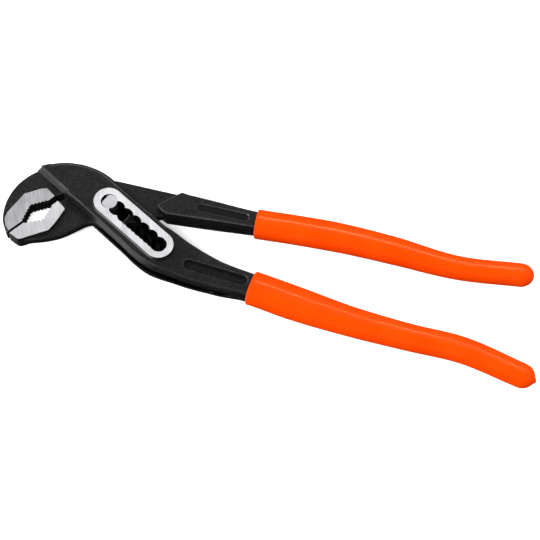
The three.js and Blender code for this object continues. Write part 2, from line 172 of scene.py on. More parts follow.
def bar_section(width, thickness, far_corner, near_corner, draft=0.0, steps=4):
    """Half sizes to a section: corners unlike on its two sides, and draft at the parting line."""
    section = []
    for quarter, (across, up) in enumerate((far_corner, near_corner, near_corner, far_corner)):
        side = 1 if quarter in (0, 3) else -1
        top = 1 if quarter < 2 else -1
        if draft and quarter in (0, 2):
            section.append((side * (width + draft), 0.0))
        for k in range(steps + 1):
            bend = (quarter + k / steps) * math.pi / 2
            section.append((
                side * (width - across) + across * math.cos(bend),
                top * (thickness - up) + up * math.sin(bend),
            ))
    return np.array(section)


def across_handle(line, k, section, shift=0.0):
    """One ring of a handle: a section set square to its line, moved along the line by a shift."""
    ahead = line[min(k + 1, len(line) - 1)] - line[max(k - 1, 0)]
    ahead /= np.linalg.norm(ahead)
    left = np.array((-ahead[1], ahead[0]))
    centre = line[k] + ahead * shift
    return np.c_[centre + section[:, :1] * left, section[:, 1]]


def bar(line, halves, far_corners, near_corners, draft=0.0):
    """A handle's blank along its line, with half its width and half its thickness at each place."""
    rings = []
    for k in range(len(line)):
        section = bar_section(*halves[k], far_corners[k], near_corners[k], draft, steps=6)
        rings.append(across_handle(line, k, section))
    return solid("blank", rings)


def stadium(start, end, radius):
    """A slot's outline between two points."""
    run = np.subtract(end, start)
    heading = angle_of(run)
    quarter = math.pi / 2
    return np.vstack([
        arc(start, radius, heading + quarter, heading + 3 * quarter),
        arc(end, radius, heading - quarter, heading + quarter),
    ])


def forge(name, first, *steps):
    """Joins and cuts blanks in turn into one piece."""
    for operation, blank in steps:
        step = first.modifiers.new(operation, "BOOLEAN")
        step.operation = operation
        step.solver = "MANIFOLD"
        step.object = blank
    made = first.evaluated_get(bpy.context.evaluated_depsgraph_get())
    mesh = bpy.data.meshes.new_from_object(made)
    mesh.name = name
    for blank in [first] + [blank for _, blank in steps]:
        bpy.data.meshes.remove(blank.data)
    piece = bpy.data.objects.new(name, mesh)
    bpy.context.scene.collection.objects.link(piece)
    return piece


def dress(piece, finishes, choose=None, sharp=math.radians(32)):
    """Gives a piece its finishes, one for each face, and smooth shading between its real edges."""
    mesh = piece.data
    mesh.materials.clear()
    for finish in finishes:
        mesh.materials.append(finish)
    for face in mesh.polygons:
        face.use_smooth = True
        face.material_index = finishes.index(choose(face)) if choose else 0
    mesh.set_sharp_from_angle(angle=sharp)
    weigh = piece.modifiers.new("flat_faces_stay_flat", "WEIGHTED_NORMAL")
    weigh.keep_sharp = True


class Field:
    """A value that varies over a surface. Sums of fields add the shader nodes that work them out."""

    def __init__(self, tree, socket):
        self.tree = tree
        self.socket = socket

    def node(self, kind, settings=None, sockets=None, output=0):
        """Adds any node: its settings are set first, then the values or links of its sockets."""
        added = self.tree.nodes.new(kind)
        for name, value in (settings or {}).items():
            setattr(added, name, value)
        for name, value in (sockets or {}).items():
            if isinstance(value, Field):
                self.tree.links.new(value.socket, added.inputs[name])
            else:
                added.inputs[name].default_value = value
        return Field(self.tree, added.outputs[output])

    def sum(self, operation, a, b):
        return self.node("ShaderNodeMath", {"operation": operation}, {0: a, 1: b})

    def __add__(self, other):
        return self.sum("ADD", self, other)

    def __radd__(self, other):
        return self.sum("ADD", other, self)

    def __sub__(self, other):
        return self.sum("SUBTRACT", self, other)

    def __rsub__(self, other):
        return self.sum("SUBTRACT", other, self)

    def __mul__(self, other):
        return self.sum("MULTIPLY", self, other)

    def __rmul__(self, other):
        return self.sum("MULTIPLY", other, self)

    def band(self, low, high):
        """Nought below low, one above high, and straight between them."""
        ends = {1: low, 2: high, 3: 0.0, 4: 1.0}
        return self.node("ShaderNodeMapRange", {"clamp": True}, {0: self, **ends})

    def mix(self, low, high):
        """The colour low where the field is nought, and high where it is one."""
        return self.node("ShaderNodeMix", {"data_type": "RGBA"}, {0: self, 6: low, 7: high}, output=2)

    def noise(self, size, detail=2.0):
        """Soft random patches about size metres across, over the place that this field gives."""
        return self.node("ShaderNodeTexNoise", {}, {"Vector": self, "Scale": 1 / size, "Detail": detail})

    def bump(self, depth, strength=1.0):
        """Fine relief of this depth in metres, as a normal."""
        return self.node("ShaderNodeBump", {}, {"Height": self, "Distance": depth, "Strength": strength})


def new_finish(name):
    """A material, its shader, and the place on the piece in metres as its first field."""
    material = bpy.data.materials.new(name)
    material.use_nodes = True
    tree = material.node_tree
    coords = tree.nodes.new("ShaderNodeTexCoord")
    return material, tree.nodes["Principled BSDF"], Field(tree, coords.outputs["Object"])


def coat(shader, sockets):
    """Sets the shader's own values, and links the fields that vary over the surface."""
    for name, value in sockets.items():
        if isinstance(value, Field):
            value.tree.links.new(value.socket, shader.inputs[name])
        else:
            shader.inputs[name].default_value = value


# Light colour of worn edges, which also serves as a painted highlight along them.
worn_edge_highlight = (0.1, 0.098, 0.096, 1)


def phosphated(name, dark, light, sheen, worn_highlight=worn_edge_highlight):
    """Shot blasted and phosphated steel: fine crystals, a low sheen, and upper edges painted lighter,
    partly wear and partly painted highlight.
    """
    material, shader, place = new_finish(name)
    crystals = place.noise(0.5 * MM, detail=3.0)
    flecks = place.noise(1.3 * MM, detail=4.0)
    clouds = place.noise(11 * MM)
    inside = {"inside": True, "only_local": True, "samples": 6}
    edges = 1 - place.node("ShaderNodeAmbientOcclusion", inside, {"Distance": 0.7 * MM}, output=1)
    facing = place.node("ShaderNodeNewGeometry", output="Normal")
    # Convex edges that face up are painted lighter, partly real wear and partly painted highlight; edges
    # that face down stay dark, as painted shade.
    upward = place.node("ShaderNodeSeparateXYZ", {}, {0: facing}, output=2).band(-0.05, 0.4)
    wear_and_highlight = edges.band(0.17, 0.55) * flecks.band(0.2, 0.6) * upward
    shade = crystals.band(0.42, 0.62) * 0.4 + flecks.band(0.4, 0.64) * 0.4 + clouds.band(0.3, 0.7) * 0.2
    coat(shader, {
        "Base Color": wear_and_highlight.mix(shade.mix(dark, light), worn_highlight),
        "Roughness": 0.28 + flecks * 0.12 - wear_and_highlight * 0.05,
        "Specular IOR Level": sheen,
        "Normal": (crystals * 0.5 + flecks * 0.5).bump(0.08 * MM, 0.8),
    })
    return material


def ground_bright(name, grind_angle, dull, bright):
    """Steel ground on a belt: bright, with fine straight lines along the way that the belt ran."""
    material, shader, place = new_finish(name)
    about_up = {"rotation_type": "Z_AXIS"}
    turned = place.node("ShaderNodeVectorRotate", about_up, {"Vector": place, "Angle": grind_angle})
    drawn = place.node("ShaderNodeVectorMath", {"operation": "MULTIPLY"}, {0: turned, 1: (0.03, 1, 1)})
    lines = drawn.noise(0.3 * MM, detail=4.0)
    patches = place.noise(5 * MM)
    tone = lines.band(0.3, 0.7) * 0.75 + patches.band(0.3, 0.7) * 0.25
    coat(shader, {
        "Base Color": tone.mix(dull, bright),
        "Metallic": 1.0,
        "Roughness": 0.3 + lines * 0.14 + patches * 0.06,
        "Normal": lines.bump(0.02 * MM, 0.4),
    })
    return material


coat_dark = (0.001, 0.00095, 0.0009, 1)
# Colours of the painted shade on the slot, window and groove walls, and on their edges.
slot_shade_dark = (0.0005, 0.0005, 0.0005, 1)
slot_shade_edge = (0.002, 0.002, 0.002, 1)
# Edge colour on the sloping band, close to its own painted sheen, so that its borders do not stand out.
ramp_worn_highlight = (0.03, 0.03, 0.03, 1)
black = phosphated("phosphated_black", coat_dark, (0.0155, 0.015, 0.0146, 1), 0.115)
# Darker black inside the recesses of the handles: painted shade.
recess_painted_shade = phosphated("recess_painted_shade", coat_dark, (0.0105, 0.0101, 0.0098, 1), 0.065)
# Near-black on the slot, window and groove walls: painted shade.
slot_painted_shade = phosphated("slot_painted_shade", slot_shade_dark, (0.0016, 0.0016, 0.0016, 1), 0.005, slot_shade_edge)
# Lighter black on the sloping band: painted sheen, as where it faces the light.
ramp_painted_sheen = phosphated(
    "ramp_painted_sheen", (0.014, 0.0138, 0.0138, 1), (0.025, 0.0246, 0.0246, 1), 0.12, ramp_worn_highlight,
)
# Lighter black on the head's far top edges, the neck's upper edges and the recess rims: painted
# highlight.
painted_edge_highlight = phosphated("painted_edge_highlight", (0.022, 0.0217, 0.0214, 1), (0.042, 0.0414, 0.0408, 1), 0.13)
belt_heading = math.radians(68)
mid_steel = (0.42, 0.421, 0.434, 1)
ring_ground = ground_bright("ring_ground", belt_heading, mid_steel, (0.64, 0.642, 0.655, 1))
pad_ground = ground_bright("pad_ground", belt_heading, (0.22, 0.221, 0.232, 1), mid_steel)

notch_radius = 3.7
notch_pitch = 5.3
notch_count = 7
first_notch = -0.35
last_notch = first_notch + (notch_count - 1) * notch_pitch
pin_travel = (notch_count - 1) * notch_pitch
ring_width = 2.95
near_margin = 2.5
far_margin = 2.8
ring_radius = notch_radius + ring_width
box_low = ring_radius + near_margin
box_high = ring_radius + far_margin
box_half = 7.2
ring_half = 8.0
window_half = 2.3
plate = box_half - window_half
hub_radius = 14.4
open_angle = math.radians(85)

# Head: the box, an arc over its top and the back of the jaw, rounded over most on the far side
back_radius = 25.9
back_drop = 2.6
back_centre = np.array((-13.0, box_high - back_drop - back_radius))
top_start = -8.0
top_lead = top_start - back_centre[0]
top_rise = box_high - back_centre[1]
top_radius = (top_lead ** 2 + top_rise ** 2 - back_radius ** 2) / (2 * (top_rise - back_radius))
top_centre = np.array((top_start, box_high - top_radius))
top_end = angle_of(back_centre - top_centre)
ramp_inset = 0.8
ramp_high = ramp_inset - box_low
plate_end = math.pi + math.asin((back_centre[1] - ramp_high) / back_radius)
head_end = last_notch - 12.5
head_grow = 0.45
throat_start = -17.4
far_round = 2.0
near_round = 1.1
near_reach = 10.1
near_lean = 0.0155


def near_side(along):
    """How far the box's near side is from the slot: it leans out a little towards the handle."""
    return near_reach + near_lean * along


far_run = np.linspace(head_end, top_start, 14)
far_side = box_high + np.interp(far_run, (top_start, 14), (head_grow, 0))
plate_foot = back_centre[0] + (back_radius + head_grow) * math.cos(plate_end)
hidden_run = np.linspace(plate_foot, throat_start - 1, 8)[1:]
near_run = np.linspace(throat_start, head_end, 24)
near_up = np.interp(near_run, (throat_start, throat_start + 6), (near_round, plate))
back_arc = arc(back_centre, back_radius + head_grow, top_end, plate_end)[1:]
back_last = len(back_arc) - 1
back_across = np.interp(np.arange(len(back_arc)), (back_last - 8, back_last), (far_round, 0.8))
head_edges = [
    (np.c_[far_run, far_side], np.interp(far_run, (top_start, 16), (far_round, 1.2)), None),
    (arc(top_centre, top_radius + head_grow, math.pi / 2, top_end)[1:], far_round, None),
    (back_arc, back_across, None),
    (np.c_[hidden_run, np.full(len(hidden_run), ramp_high - 0.15)], 0.3, None),
    (np.c_[near_run, -near_side(near_run)], near_round, near_up),
]
head_outline = np.vstack([points for points, _, _ in head_edges])
head_across = np.concatenate([np.broadcast_to(across, len(points)) for points, across, _ in head_edges])
head_up = np.concatenate([
    np.broadcast_to(across if up is None else up, len(points)) for points, across, up in head_edges
])
head = slab(from_slot(head_outline), rounded(box_half, head_across, head_up, steps=8))

# Upper jaw: thinner than the box, with a ground pad that stands a little proud of it
jaw_half = 3.6
jaw_body_half = 3.35
jaw_flat = 0.6
root_step = 0.9
jaw_root = jaw_flat + root_step
root_end = 15.9
nose_end = 35.2
mouth_length = 15.0
mouth_depth = 4.0
teeth_per_flank = 5
tooth_depth = 0.6
tip_trim = 1.1
throat_gap = 0.4
throat = from_jaw((root_end + throat_gap, jaw_root))
jaw_back = to_jaw(from_slot(back_centre))
jaw_radius = back_radius + head_grow
jaw_arc = arc(jaw_back, jaw_radius, -math.asin(jaw_back[1] / jaw_radius), math.radians(-106))
jaw_arc[:, 0] -= np.interp(jaw_arc[:, 1], (-7, 0), (0, tip_trim))
jaw_root_edge = [
    from_slot((-hub_radius, 0)),
    from_slot((throat_start, -8.9)),
    from_slot((-20.5, -10.0)),
    from_jaw((root_end, -jaw_root)),
    from_jaw((root_end, 0)),
]
jaw_outline = np.vstack([from_jaw(jaw_arc), jaw_root_edge])


def round_back(radius, root_round=0.25):
    """A rounding for the jaw's curved back, with its root left nearly sharp."""
    return np.r_[np.full(len(jaw_arc), radius), np.full(len(jaw_root_edge), root_round)]


def bent(start, corner, end, steps):
    """A curve that leaves its start towards a corner, and comes to its end from there."""
    sweep = np.linspace(0, 1, steps + 1)[:, None]
    return start * (1 - sweep) ** 2 + corner * 2 * sweep * (1 - sweep) + end * sweep ** 2


def soften(before, corner, after, cut):
    """A corner of an outline taken off by a small curve."""
    start = corner + (before - corner) / np.linalg.norm(before - corner) * cut
    end = corner + (after - corner) / np.linalg.norm(after - corner) * cut
    return bent(start, corner, end, 5)


def softened(points, cut):
    """An outline with all its corners taken off."""
    points = np.asarray(points, float)
    behind, ahead = np.roll(points, 1, 0), np.roll(points, -1, 0)
    cuts = np.broadcast_to(cut, len(points))
    return np.vstack([soften(behind[k], points[k], ahead[k], cuts[k]) for k in range(len(points))])


upper_pad = [
    (root_end, 0), (16.2, -7.0), (18.6, -8.8), (26.1, -11.6),
    (37.6, -8.9), (40.6, -7.3), (42.7, -3.7), (43.4, 0),
]
pad_corner = 0.5
upper_pad_edge = 0.25
back_round = 1.0
jaw_body = slab(jaw_outline, rounded(jaw_body_half, round_back(back_round)))
jaw_pad = slab(from_jaw(softened(upper_pad, pad_corner)), rounded(jaw_half, upper_pad_edge, steps=2))

# Sloping band from the box down to the jaw
ramp_width = 1.8
ramp_round = 0.6
ramp_low = ramp_high - ramp_width
ramp_top = box_half - 0.03
ramp_root = 3 - box_low
ramp_section = [
    (ramp_root, -ramp_top), (ramp_root, ramp_top), (ramp_high, ramp_top),
    (ramp_low, jaw_body_half), (ramp_low, -jaw_body_half), (ramp_high, -ramp_top),
]
ramp = solid("blank", [
    np.array([(*from_slot((along, across)), up) for across, up in ramp_section])
    for along in (back_centre[0] + back_radius, back_centre[0] - back_radius)
])
ramp_limit = slab(jaw_outline, rounded(ramp_top, round_back(ramp_round)))


def mouth_space(side):
    """The space in front of a jaw, with the teeth of both flanks of its mouth."""
    mouth_end = nose_end - mouth_length
    apex = np.array(((nose_end + mouth_end) / 2, jaw_flat + mouth_depth))
    nose = np.array((nose_end, jaw_flat))
    face = [nose]
    for start, end in ((nose, apex), (apex, np.array((mouth_end, jaw_root)))):
        along = (end - start) / np.linalg.norm(end - start)
        deeper = np.array((-along[1], along[0]))
        deeper *= math.copysign(1, deeper[1])
        for k in range(teeth_per_flank):
            face.append(start + (end - start) * (k + 0.5) / teeth_per_flank + deeper * tooth_depth)
            face.append(start + (end - start) * (k + 1) / teeth_per_flank)
    ahead, away = nose_end + 50, -30
    space = [(ahead, away), (ahead, jaw_flat), *face, (root_end, jaw_root), (root_end, away)]
    return through_cut(from_jaw(np.array(space) * (1, side)))


def touch(place, radius, side):
    """Point where the line from a place outside a circle about the pin touches it."""
    return turn((radius, 0), angle_of(place) + side * math.acos(radius / np.linalg.norm(place)))


# Window that the other lever runs through
web_run_high = np.array((29.2, 13.7))
heel_reach = (14.7, 18.3)
heel = from_jaw(heel_reach)
throat_touch = touch(throat, hub_radius, -1)
closed_edge = angle_of(throat_touch)
open_edge = angle_of(touch(web_run_high, hub_radius, 1)) + open_angle
wall_gap = 0.8
wall_half_angle = (open_edge - closed_edge) / 2
wall_heading = (open_edge + closed_edge) / 2
wall_corner = turn(((hub_radius + wall_gap) / math.cos(wall_half_angle), 0), wall_heading)
outwards = (throat - throat_touch) / np.linalg.norm(throat - throat_touch)
wall_foot = throat + turn((wall_gap, 0), closed_edge) + outwards * overrun
heel_gap = 2.2
end_angle = angle_of(heel) + open_angle
end_foot = from_slot((pin_travel, 0)) + turn((np.linalg.norm(heel) + heel_gap, 0), end_angle)
window = slab([
    wall_foot,
    from_slot((to_slot(wall_foot)[0] + overrun, -box_low - overrun)),
    end_foot + turn((0, -2 * box_high), end_angle),
    end_foot + turn((0, 3 * box_high), end_angle),
    turn((0, -back_radius - hub_radius), open_edge) + wall_corner,
    wall_corner,
], [(0, window_half)])

# Slot with deep cusps along one side; along the other only the first notches are deep, and the rest
# have a small half step between them
flat_side = 2.6
round_side = 3.15
half_step_radius = 1.5
deep_end = first_notch + 2 * notch_pitch
slot_channel = through_cut(from_slot([
    (first_notch, -flat_side), (deep_end, -flat_side), (deep_end, -round_side),
    (last_notch, -round_side), (last_notch, flat_side), (first_notch, flat_side),
]))
notches = [first_notch + k * notch_pitch for k in range(notch_count)]
slot_cuts = [(place, 0, notch_radius) for place in notches + [pin_travel]]
half_step_across = half_step_radius - notch_radius
slot_cuts += [(place + notch_pitch / 2, half_step_across, half_step_radius) for place in notches[2:-1]]
slot_rounds = [
    through_cut(from_slot(arc((along, across), radius, 0, math.tau, math.radians(5))[:-1]))
    for along, across, radius in slot_cuts
]
ring_reach = 0.4
ring_outline = from_slot(
    stadium((first_notch - ring_reach, 0), (last_notch + ring_reach, 0), ring_radius)
)
ring_foot = 0.5 - 0.25 * to_slot(ring_outline)[:, 1] / ring_radius
ring_bevel = [
    (-ring_foot - 0.05, box_half - 0.5), (-ring_foot, box_half),
    (-0.06, ring_half - 0.1), (0, ring_half),
]
ring = slab(ring_outline, ring_bevel)

# Lower handle: the box runs into it, and it bends and tapers towards its grip. Each station is a place
# from the last notch, then a width and a thickness.
lower_stations = [
    (13.4, -4.2, 17.0, 12.0), (28.1, -6.9, 12.9, 10.4), (44.5, -8.2, 10.4, 9.2),
    (65.9, -11.4, 10.4, 9.2), (90.9, -14.5, 8.3, 9.2), (117.9, -16.3, 6.9, 9.2),
    (142.9, -17.2, 6.9, 7.8), (169.9, -23.3, 6.2, 7.8),
]
last_notch_place = from_slot((last_notch, 0))
box_ends = [last_notch - 14, last_notch - 3]
lower_places = [from_slot((along, (box_high - near_side(along)) / 2)) for along in box_ends]
lower_places += [last_notch_place + (x, y) for x, y, _, _ in lower_stations]
lower_halves = [((box_high + near_side(along)) / 2, box_half) for along in box_ends]
lower_halves += [(width / 2, thickness / 2) for _, _, width, thickness in lower_stations]


def handle_shares(grip_share, neck_count, tang_count=30):
    """Shares of a handle's line, up to its grip and then inside it."""
    tang_shares = np.linspace(grip_share, 1, tang_count)[1:]
    return np.r_[np.linspace(0, grip_share, neck_count), tang_shares]


def left_of(line):
    """The way square to a line, to its left, at each of its places."""
    ahead = np.gradient(line, axis=0)
    return np.c_[-ahead[:, 1], ahead[:, 0]] / np.linalg.norm(ahead, axis=1)[:, None]


def half_at(reach, line, halves):
    """Half the thickness of a handle, at a reach along the tool."""
    return np.interp(reach, line[:, 0], halves[:, 1])


lower_grip_share = 4 / (len(lower_places) - 1)
lower_shares = handle_shares(lower_grip_share, 40)
lower_line = through(lower_places, lower_shares)
lower_sizes = through(lower_halves, lower_shares, power=1.0)
tang_round = 0.9
lower_far = np.repeat(
    np.interp(lower_shares, (0, 0.3, 1), (1.2, tang_round, tang_round))[:, None], 2, axis=1,
)
near_across = (near_round, near_round, 1.8, 1.8, tang_round, tang_round)
near_rise = (plate, 4.8, 2.4, 2.4, tang_round, tang_round)
lower_near = np.c_[
    np.interp(lower_shares, (0, 0.12, 0.3, 0.44, 0.5, 1), near_across),
    np.interp(lower_shares, (0, 0.12, 0.36, 0.44, 0.5, 1), near_rise),
]
lower_left = left_of(lower_line)
swell = 0.8
lower_swell = np.interp(lower_shares, (0.2, 0.36, lower_grip_share, 0.48), (0, swell, swell, 0)) / 2
lower_middle = lower_line - lower_left * lower_swell[:, None]
lower_widths = lower_sizes + np.c_[lower_swell, np.zeros(len(lower_swell))]
lower_bar = bar(lower_middle, lower_widths, lower_far, lower_near)
rim_width = 0.4
rim_depth = 0.35


def recess_part(place, start, end, radius, line, halves):
    """Whether a place is inside a recess, on its rim, or neither."""
    run = np.subtract(end, start)
    share = np.clip((place[:2] - start) @ run / (run @ run), 0, 1)
    away = np.linalg.norm(place[:2] - start - run * share) - radius
    sunk = half_at(place[0], line, halves) - abs(place[2])
    if away < 0.05 and sunk > 0.3 and abs(place[2]) > 2.5:
        return "inside"
    return "rim" if 0 < away < rim_width + 0.05 and 0.02 < sunk < rim_depth else None


def recess(start, end, radius, depth, line, halves, floor):
    """A shallow stadium pressed into both faces of a handle, with a soft rim and the handle's taper."""
    full = halves[0][1]
    rim = [
        (0.2, full - depth), (0, full - depth * 0.7), (0, full - rim_depth),
        (-rim_width, full + 0.05), (-rim_width, full + 2),
    ]
    outline = stadium(start, end, radius)
    column = slab(outline, rim, taper=lambda place: half_at(place[:, 0], line, halves) / full)
    return forge("blank", column, ("DIFFERENCE", floor))


lower_depth = 1.4
lower_floor = bar(lower_line, lower_sizes - (0, lower_depth), lower_far, lower_far)
lower_hollow = [last_notch_place + place for place in ((15.5, -5.8), (40.6, -7.4))]
lower_hollow_radius = 2.4
lower_shape = (*lower_hollow, lower_hollow_radius)
lower_recess = recess(*lower_shape, lower_depth, lower_line, lower_sizes, lower_floor)

# Run-out of the cutter that milled the window: a groove along the handle's near side that fades out
groove_depth = 2.6
groove_fade = 2.5
groove_close = 1.3
groove_run = [k for k, share in enumerate(lower_shares) if 0.15 < share < 0.41]
groove_rings = []
for k in groove_run:
    gone = (k - groove_run[0]) / (len(groove_run) - 1)
    near = -lower_widths[k][0]
    outer, inner = near - 1.5, near + groove_depth - groove_fade * gone
    rise = window_half - groove_close * gone
    groove_section = np.array([(outer, -rise), (inner, -rise), (inner, rise), (outer, rise)])
    groove_rings.append(across_handle(lower_middle, k, groove_section))
groove = solid("blank", groove_rings)
ramp_band = forge("blank", ramp, ("INTERSECT", ramp_limit))

slotted_lever = forge(
    "slotted_lever_forging", head,
    ("UNION", lower_bar), ("UNION", jaw_body), ("UNION", jaw_pad), ("UNION", ramp_band),
    ("DIFFERENCE", mouth_space(-1)), ("DIFFERENCE", lower_recess), ("UNION", ring),
    ("DIFFERENCE", window), ("DIFFERENCE", groove), ("DIFFERENCE", slot_channel),
    *(("DIFFERENCE", cut) for cut in slot_rounds),
)
flat_face = 0.98
level_error = 0.02


def from_pin(face):
    """The middle of a face, in millimetres from the pin."""
    return np.array(face.center) / MM - pin_place / MM


def is_ground(face):
    """Whether a face is a flat top of the ring or of a jaw pad."""
    place = from_pin(face)
    height = abs(place[2])
    reach = to_jaw(place[:2])[0]
    pad = abs(height - jaw_half) < level_error and reach > root_end - 0.5
    return abs(face.normal.z) > flat_face and (pad or height > ring_half - level_error)


def lever_finish(face):
    """The sloping band is painted lighter as painted sheen, the slot, groove and window walls and the
    recess darker as painted shade, and the recess rim and far edges lighter as painted highlight.
    """
    place = from_pin(face)
    along, across = to_slot(place[:2])
    height = abs(place[2])
    flatness = abs(face.normal.z)
    on_ramp = along < throat_start and ramp_low - 0.3 < across < ramp_high + 0.3
    # Sloping band: painted sheen.
    if 0.36 < flatness < 0.5 and on_ramp:
        return ramp_painted_sheen
    in_slot = first_notch - 4.5 < along < last_notch + 4.5 and abs(across) < notch_radius + 0.1
    nearest = np.argmin(np.linalg.norm(lower_middle - place[:2], axis=1))
    sunk = (place[:2] - lower_middle[nearest]) @ lower_left[nearest] + lower_widths[nearest][0]
    in_groove = along > head_end and height < window_half + 0.05 and 0.25 < sunk < 4
    in_window = throat_start < along < head_end and abs(height - window_half) < 0.03
    # Slot, groove and window walls: painted shade.
    if (in_slot and flatness < 0.5) or in_groove or in_window:
        return slot_painted_shade
    # Recess: painted shade inside, painted highlight on its rim.
    part = recess_part(place, *lower_shape, lower_line, lower_sizes)
    if part:
        return recess_painted_shade if part == "inside" else painted_edge_highlight
    # Far top edges of the head: painted highlight.
    far_edge = flat_face < flatness < 0.9995 and height > box_half - 0.3
    if far_edge and along < head_end and across > ramp_high + 1:
        return painted_edge_highlight
    if is_ground(face):
        return pad_ground if along < throat_start else ring_ground
    return black


lever_finishes = [black, ring_ground, ramp_painted_sheen, slot_painted_shade, pad_ground, recess_painted_shade, painted_edge_highlight]
dress(slotted_lever, lever_finishes, lever_finish)
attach(slotted_lever, "slotted_lever_body")
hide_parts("slotted_lever")

# INNER LEVER
# The second forging: lower jaw, thin web that runs through the box, upper handle. It has the same
# black finish, a ground jaw pad, and a round hole that the pin is pressed into.
web_half = 2.0
lower_hub_radius = 9.6
web_run_low = np.array((30.0, 4.1))
lower_pad = [
    (root_end + throat_gap, 0), (16.3, 6.3), (16.8, 7.2), (24.1, 9.9),
    (28.9, 11.1), (42.6, 6.1), (43.9, 0),
]
lower_pad_edge = 0.3
tip_corner = 1.5
lower_corners = [pad_corner] * 5 + [tip_corner, pad_corner]
jaw_edge = from_jaw([(42.0, 5.9), (39.5, 8.0), (35.0, 11.2), (30.5, 13.9), (24.5, 16.4), heel_reach])
heel_end = turn((lower_hub_radius, 0), angle_of(heel) + math.radians(20))
heel_bend = heel + (3, 2.4)
heel_curve = bent(heel, heel_bend, heel_end, 8)[1:]
web_high = angle_of(touch(web_run_high, hub_radius, 1))
web_low = angle_of(touch(web_run_low, lower_hub_radius, -1))
web_tail = np.array((web_run_low[0] + 8, (web_run_low[1] + web_run_high[1]) / 2))
jaw_curve = through(jaw_edge, np.linspace(0, 1, 26), power=0.0)
web_round = 0.35
jaw_round = 1.2
web_parts = [
    (arc((0, 0), hub_radius, web_high, closed_edge), web_round),
    ([throat], web_round),
    (jaw_curve, np.interp(np.arange(len(jaw_curve)), (0, 7), (0.3, jaw_round))),
    (heel_curve, jaw_round),
    (arc((0, 0), lower_hub_radius, angle_of(heel_end), web_low + math.tau)[1:], web_round),
    ([web_run_low, web_tail, web_run_high], web_round),
]
web_outline = np.vstack([points for points, _ in web_parts])
web_rounding = np.concatenate([np.broadcast_to(radius, len(points)) for points, radius in web_parts])
web = slab(web_outline, rounded(web_half, web_rounding, steps=5))
inner_pad = slab(
    from_jaw(softened(lower_pad, lower_corners)), rounded(jaw_half, lower_pad_edge, steps=2),
)

# Upper handle: each station is a place from the pin, then a width and a thickness
upper_stations = [
    (22.0, 7.4, 12.8, 10.4), (45.0, 7.6, 10.4, 10.4), (66.5, 7.9, 8.2, 9.2),
    (86.0, 8.9, 8.2, 9.2), (106.0, 9.4, 8.2, 9.2), (130.0, 8.5, 7.55, 9.2),
    (160.0, 6.4, 5.6, 7.8), (188.5, 9.2, 5.6, 7.8),
]
upper_places = [(x, y) for x, y, _, _ in upper_stations]
upper_halves = [(width / 2, thickness / 2) for _, _, width, thickness in upper_stations]
upper_grip_share = 2 / (len(upper_stations) - 1)
upper_shares = handle_shares(upper_grip_share, 24)
upper_line = through(upper_places, upper_shares)
upper_sizes = through(upper_halves, upper_shares, power=1.0)
upper_round = 0.6
upper_corner = np.full((len(upper_shares), 2), upper_round)
upper_draft = 0.15
upper_depth = 0.8
tang = slice(int(np.searchsorted(upper_shares, upper_grip_share)) - 2, None)
tang_corner = upper_corner[tang]
upper_tang = bar(upper_line[tang], upper_sizes[tang], tang_corner, tang_corner, upper_draft)
upper_floor = bar(upper_line, upper_sizes - (0, upper_depth), upper_corner, upper_corner, upper_draft)
upper_hollow = np.array([(40.9, 7.9), (61.4, 7.8)])
upper_hollow_radius = 1.75
upper_shape = (*upper_hollow, upper_hollow_radius)
upper_recess = recess(*upper_shape, upper_depth, upper_line, upper_sizes, upper_floor)

# Neck of the upper handle, from its slanted shoulder beside the box to just inside the grip
neck_half = upper_sizes[0][1]
neck_draft = 0.35
neck_side = left_of(upper_line) * upper_sizes[:, :1]
neck_far = upper_line + neck_side
neck_near = upper_line - neck_side
shoulder_high, shoulder_low, shoulder_corner = from_slot([
    (along, box_high + gap) for along, gap in ((19.0, 17.9), (15.4, 5.3), (18.5, 4.7))
])
shoulder_run = 2
neck_end = 69
in_neck = upper_line[:, 0] < neck_end
far_edge = neck_far[in_neck & (neck_far[:, 0] > shoulder_high[0] + shoulder_run)]
near_edge = neck_near[in_neck & (neck_near[:, 0] > shoulder_corner[0] + shoulder_run)]
neck_outline = np.vstack([
    near_edge,
    far_edge[::-1],
    soften(far_edge[0], shoulder_high, shoulder_low, 0.8),
    soften(shoulder_high, shoulder_low, shoulder_corner, 1.3),
    soften(shoulder_low, shoulder_corner, near_edge[0], 0.8),
])
neck = slab(
    neck_outline, rounded(neck_half, upper_round, draft=neck_draft),
    taper=lambda place: half_at(place[:, 0], upper_line, upper_sizes) / neck_half,
)
pin_hole_radius = 3.6
pin_hole = through_cut(arc((0, 0), pin_hole_radius, 0, math.tau, math.radians(5))[:-1])

inner_lever = forge(
    "inner_lever_forging", neck,
    ("UNION", upper_tang), ("DIFFERENCE", upper_recess), ("UNION", web), ("UNION", inner_pad),
    ("DIFFERENCE", mouth_space(1)), ("DIFFERENCE", pin_hole),
)
belt_ground = ground_bright(
    "belt_ground", belt_heading, (0.36, 0.361, 0.374, 1), (0.55, 0.552, 0.566, 1),
)


def inner_finish(face):
    """The recess is painted darker as painted shade, and its rim and the neck's upper edges lighter as
    painted highlight.
    """
    place = from_pin(face)
    # Recess: painted shade inside, painted highlight on its rim.
    part = recess_part(place, *upper_shape, upper_line, upper_sizes)
    if part:
        return recess_painted_shade if part == "inside" else painted_edge_highlight
    drop = half_at(place[0], upper_line, upper_sizes) - abs(place[2])
    # Upper edges of the neck: painted highlight.
    if place[0] > 0 and 0.02 < drop < 0.3 and 0.3 < abs(face.normal.z) < 0.985:
        return painted_edge_highlight
    return belt_ground if is_ground(face) else black


dress(inner_lever, [black, belt_ground, recess_painted_shade, painted_edge_highlight], inner_finish)
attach(inner_lever, "inner_lever_body")
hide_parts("inner_lever")

